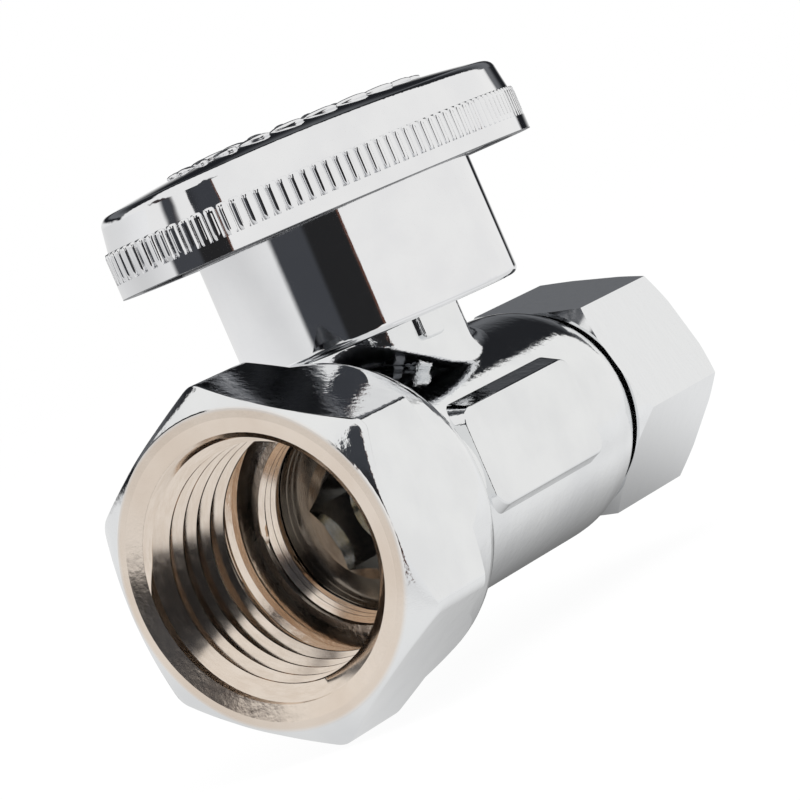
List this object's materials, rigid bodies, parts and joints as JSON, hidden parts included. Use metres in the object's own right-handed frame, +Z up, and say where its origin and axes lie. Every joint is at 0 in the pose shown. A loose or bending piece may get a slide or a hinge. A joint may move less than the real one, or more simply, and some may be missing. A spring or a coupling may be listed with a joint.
{
  "type": "isolating valve",
  "caption": "Straight quarter-turn isolating valve with a hexagon female inlet, a compression outlet and an oval knurled handle.",
  "frame": {"origin": "centre of the inlet's mouth, on the flow axis at the inlet face", "axes": "+X along the flow axis from inlet to outlet, +Z up along the stem towards the handle, +Y completes the right-handed frame"},
  "size_m": [0.0582, 0.0286, 0.0444],
  "materials": {
    "chromed_brass": "bright chrome plate over forged brass, nickel-toned inside the inlet",
    "retainer_brass": "dull nickel plate over turned brass",
    "soft_seat": "smooth white fluoropolymer",
    "ball_chrome": "polished hard chrome over brass",
    "plain_brass": "turned, unplated",
    "ring_rubber": "matt black",
    "handle_chrome": "bright chrome plate over a zinc die casting",
    "nut_chrome": "bright chrome plate over turned brass"
  },
  "bodies": {
    "body": {"valve_body": "chromed_brass", "seat_retainer": "retainer_brass", "inlet_seat": "soft_seat", "outlet_seat": "soft_seat"},
    "turning": {"handle": "handle_chrome", "stem": "plain_brass", "stem_thrust_washer": "soft_seat", "stem_o_ring_lower": "ring_rubber", "stem_o_ring_upper": "ring_rubber", "ball": "ball_chrome"},
    "sleeve": {"compression_sleeve": "plain_brass"},
    "nut": {"compression_nut": "nut_chrome"}
  },
  "joints": [
    {"name": "handle_turn", "type": "hinge", "parent": "body", "child": "turning", "pos_m": [0.0285, 0, 0], "axis": [0, 0, 1], "range_deg": [-90, 0]},
    {"name": "nut_travel", "type": "slide", "parent": "body", "child": "sleeve", "axis": [1, 0, 0], "range_m": [0, 0.008]},
    {"name": "nut_turn", "type": "hinge", "parent": "sleeve", "child": "nut", "pos_m": [0.0515, 0, 0], "axis": [1, 0, 0], "range_deg": [0, 2720]}
  ],
  "couplings": [
    {"joint": "nut_travel", "follows": "nut_turn", "m_per_rad": 0.00016843}
  ]
}
